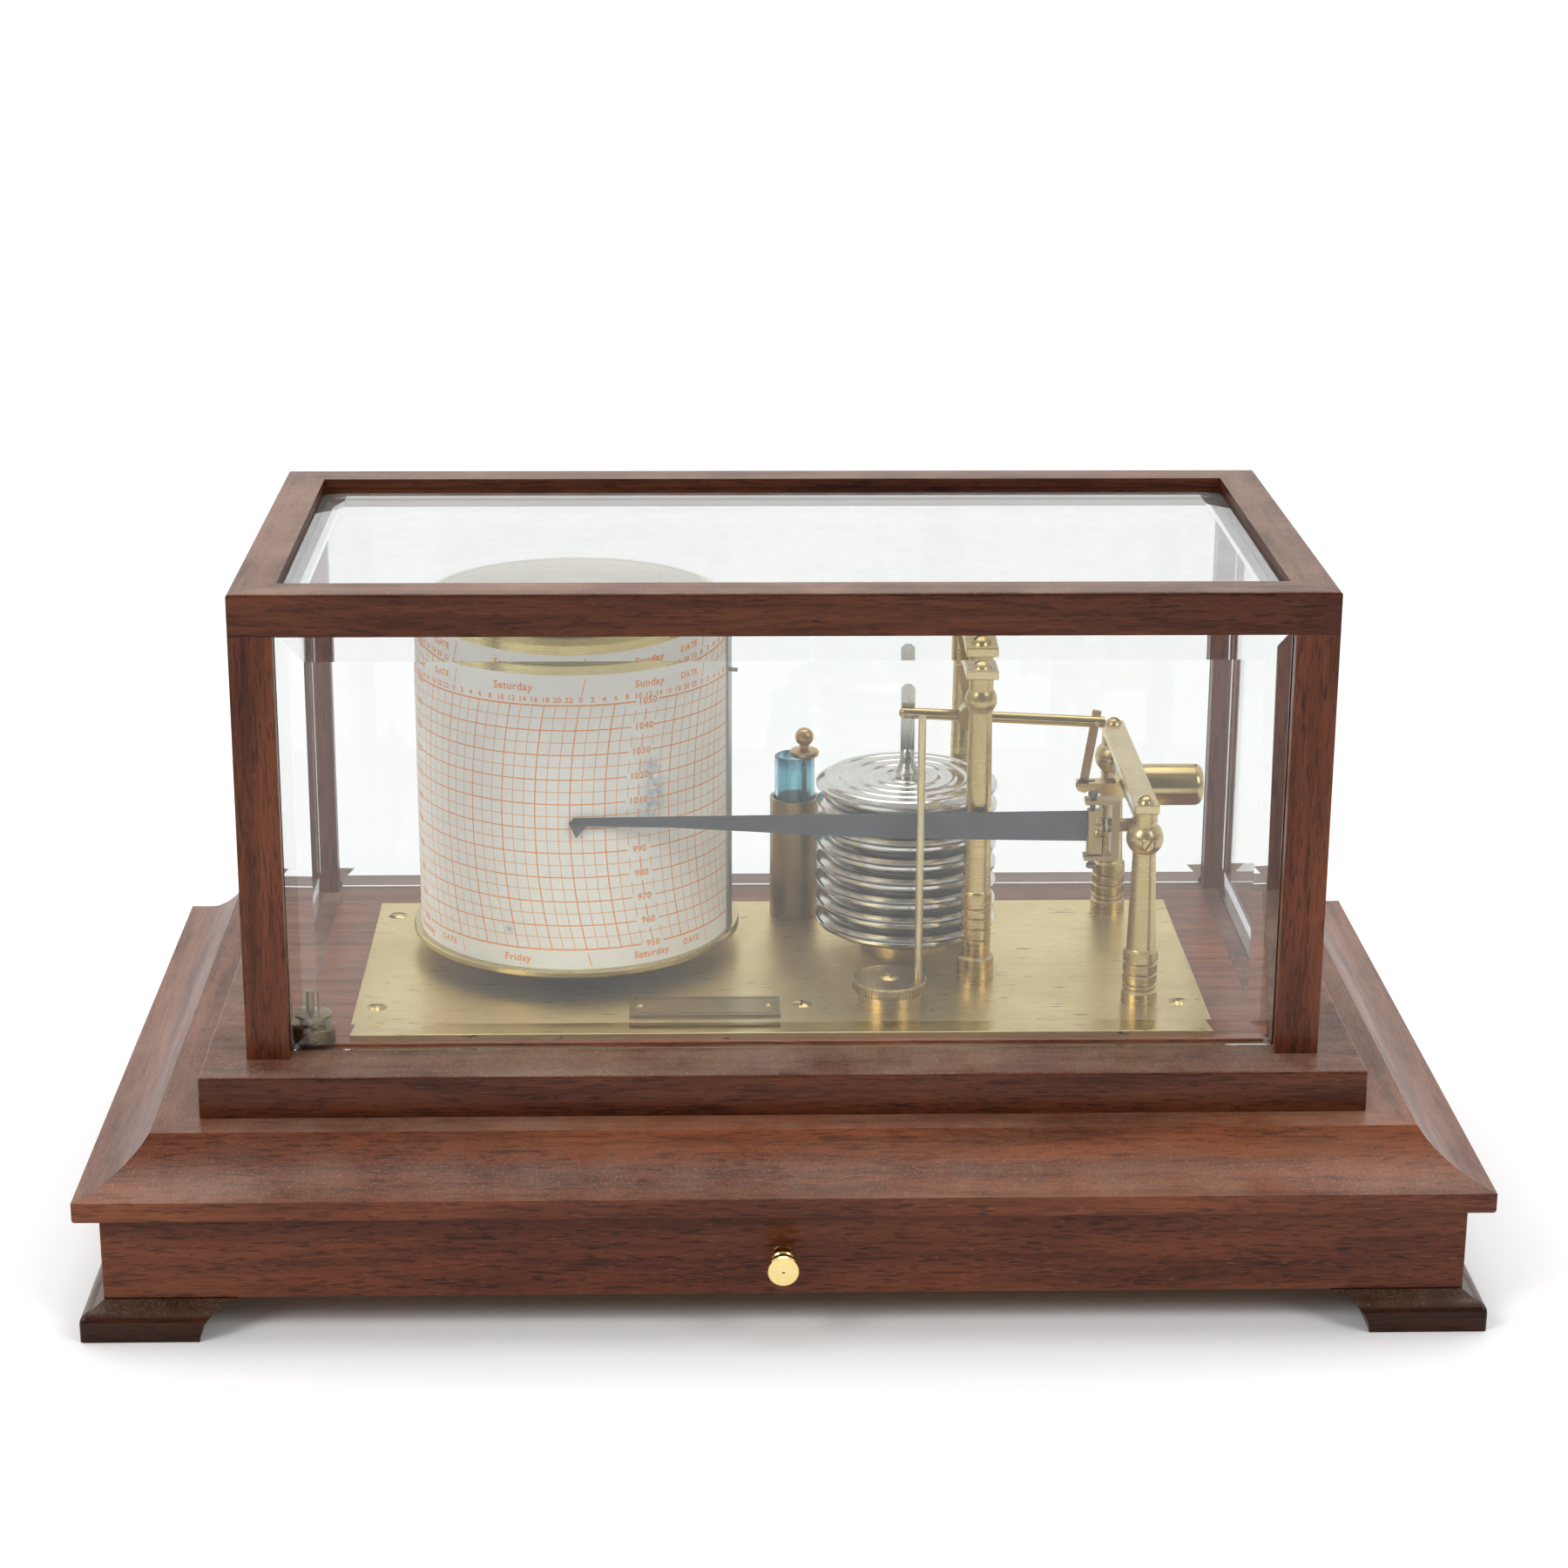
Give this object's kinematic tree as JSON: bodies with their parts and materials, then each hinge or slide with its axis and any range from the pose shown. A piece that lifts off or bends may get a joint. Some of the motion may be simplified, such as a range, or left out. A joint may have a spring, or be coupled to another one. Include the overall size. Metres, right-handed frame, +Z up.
{
  "type": "barograph",
  "caption": "Recording aneroid barometer: clock-driven chart drum, capsule stack, linkage and pen on a brass plate under a bevelled-glass mahogany cover, on a moulded base with a chart drawer.",
  "frame": {"origin": "middle of the overall footprint, drawer knob included, on the surface that the four feet stand on", "axes": "+Z up, +Y to the back (the drawer and chart face -Y), +X to the right, towards the counterweight"},
  "size_m": [0.3838, 0.2406, 0.1982],
  "materials": {
    "mahogany": "satin lacquer",
    "secondary_wood": "plain, unfinished",
    "dark_board": "dark stain",
    "glass": "clear, polished bevels",
    "brushed_brass": "satin lacquered",
    "polished_brass": "polished lacquered",
    "antique_brass": "darkened satin",
    "bronze": "darkened, bright edges",
    "copper_strip": "satin",
    "steel": "bright",
    "grey_steel": "dull grey",
    "dark_steel": "blued",
    "nickel": "nickel plated",
    "chart_paper": "printed"
  },
  "bodies": {
    "base": {"bracket_feet": "mahogany", "base_sides": "mahogany", "base_back": "mahogany", "base_floor": "secondary_wood", "drawer_runners": "secondary_wood", "cap_mouldings": "mahogany", "cap_panel": "secondary_wood", "plinth_board": "mahogany", "instrument_board": "dark_board", "bed_plate": "brushed_brass", "plate_fasteners": "polished_brass", "nameplate": "brushed_brass", "ink_holder": "antique_brass", "spare_thumb_screw": "antique_brass", "drum_spindle": "steel", "centre_wheel": "brushed_brass", "aneroid_mount": "brushed_brass", "aneroid_capsules": "nickel", "tall_column_front": "polished_brass", "tall_column_rear": "polished_brass", "tall_bridge": "polished_brass", "short_column_front": "polished_brass", "short_column_rear": "polished_brass", "short_bridge": "polished_brass", "column_screws": "dark_steel"},
    "drawer": {"drawer_front": "mahogany", "drawer_sides": "secondary_wood", "drawer_back": "secondary_wood", "drawer_bottom": "secondary_wood", "drawer_knob": "polished_brass"},
    "cover": {"corner_posts": "mahogany", "top_rails": "mahogany", "glass_front": "glass", "glass_back": "glass", "glass_left": "glass", "glass_right": "glass", "glass_top": "glass"},
    "drum": {"drum_shell": "brushed_brass", "drum_lid": "brushed_brass", "chart_paper": "chart_paper", "chart_clip": "steel", "clock_movement": "brushed_brass"},
    "pinion": {"drive_pinion": "steel"},
    "stem": {"capsule_stem": "nickel"},
    "beam": {"main_arbor": "steel", "main_beam": "polished_brass"},
    "link": {"link": "copper_strip"},
    "lever": {"pen_arbor": "steel", "pen_lever": "polished_brass", "counterweight": "polished_brass", "gate_bracket": "bronze", "gate_pivots": "dark_steel"},
    "pen": {"pen_block": "polished_brass", "block_screws": "polished_brass", "pen_arm": "grey_steel", "pen_nib": "nickel"},
    "lifter": {"lifter_knob": "polished_brass", "lifter_rod": "steel"},
    "bottle": {"ink_bottle": "glass"},
    "stopper": {"ink_stopper": "antique_brass"}
  },
  "joints": [
    {"name": "drawer_slide", "type": "slide", "parent": "base", "child": "drawer", "axis": [0, -1, 0], "range_m": [0, 0.13]},
    {"name": "cover_lift", "type": "slide", "parent": "base", "child": "cover", "axis": [0, 0, 1], "range_m": [0, 0.12]},
    {"name": "drum_spin", "type": "hinge", "parent": "base", "child": "drum", "pos_m": [-0.0602, 0.0167, 0.0757], "axis": [0, 0, 1], "continuous": true},
    {"name": "pinion_spin", "type": "hinge", "parent": "drum", "child": "pinion", "pos_m": [-0.0602, 0.03416, 0.07135], "axis": [0, 0, 1], "continuous": true},
    {"name": "pen_swing", "type": "hinge", "parent": "base", "child": "lever", "pos_m": [0.103, 0.003, 0.11795], "axis": [0, 1, 0], "range_deg": [-12.4, 14]},
    {"name": "beam_swing", "type": "hinge", "parent": "base", "child": "beam", "pos_m": [0.0571, 0.0085, 0.14015], "axis": [0, 1, 0], "range_deg": [-4.6, 4.1]},
    {"name": "link_pivot", "type": "hinge", "parent": "beam", "child": "link", "pos_m": [0.09395, 0.011, 0.13822], "axis": [0, 1, 0], "range_deg": [-4.4, 5]},
    {"name": "stem_slide", "type": "slide", "parent": "base", "child": "stem", "axis": [0, 0, 1], "range_m": [-0.0015, 0.00135], "deforming": ["aneroid_capsules"]},
    {"name": "pen_gate", "type": "hinge", "parent": "lever", "child": "pen", "pos_m": [0.0893, -0.0269, 0.11795], "axis": [0, 0, 1], "range_deg": [0, 12.1]},
    {"name": "lifter_turn", "type": "hinge", "parent": "base", "child": "lifter", "pos_m": [0.031, -0.0384, 0.07235], "axis": [0, 0, 1], "range_deg": [-90, 0]},
    {"name": "bottle_lift", "type": "slide", "parent": "base", "child": "bottle", "axis": [0, 0, 1], "range_m": [0, 0.036]},
    {"name": "stopper_lift", "type": "slide", "parent": "bottle", "child": "stopper", "axis": [0, 0, 1], "range_m": [0, 0.014]}
  ],
  "couplings": [
    {"joint": "pinion_spin", "follows": "drum_spin", "ratio": 4.8},
    {"joint": "beam_swing", "follows": "pen_swing", "ratio": -0.322},
    {"joint": "link_pivot", "follows": "pen_swing", "ratio": 0.347},
    {"joint": "stem_slide", "follows": "pen_swing", "m_per_rad": -0.00602},
    {"joint": "pen_gate", "follows": "lifter_turn", "ratio": -0.13333}
  ]
}
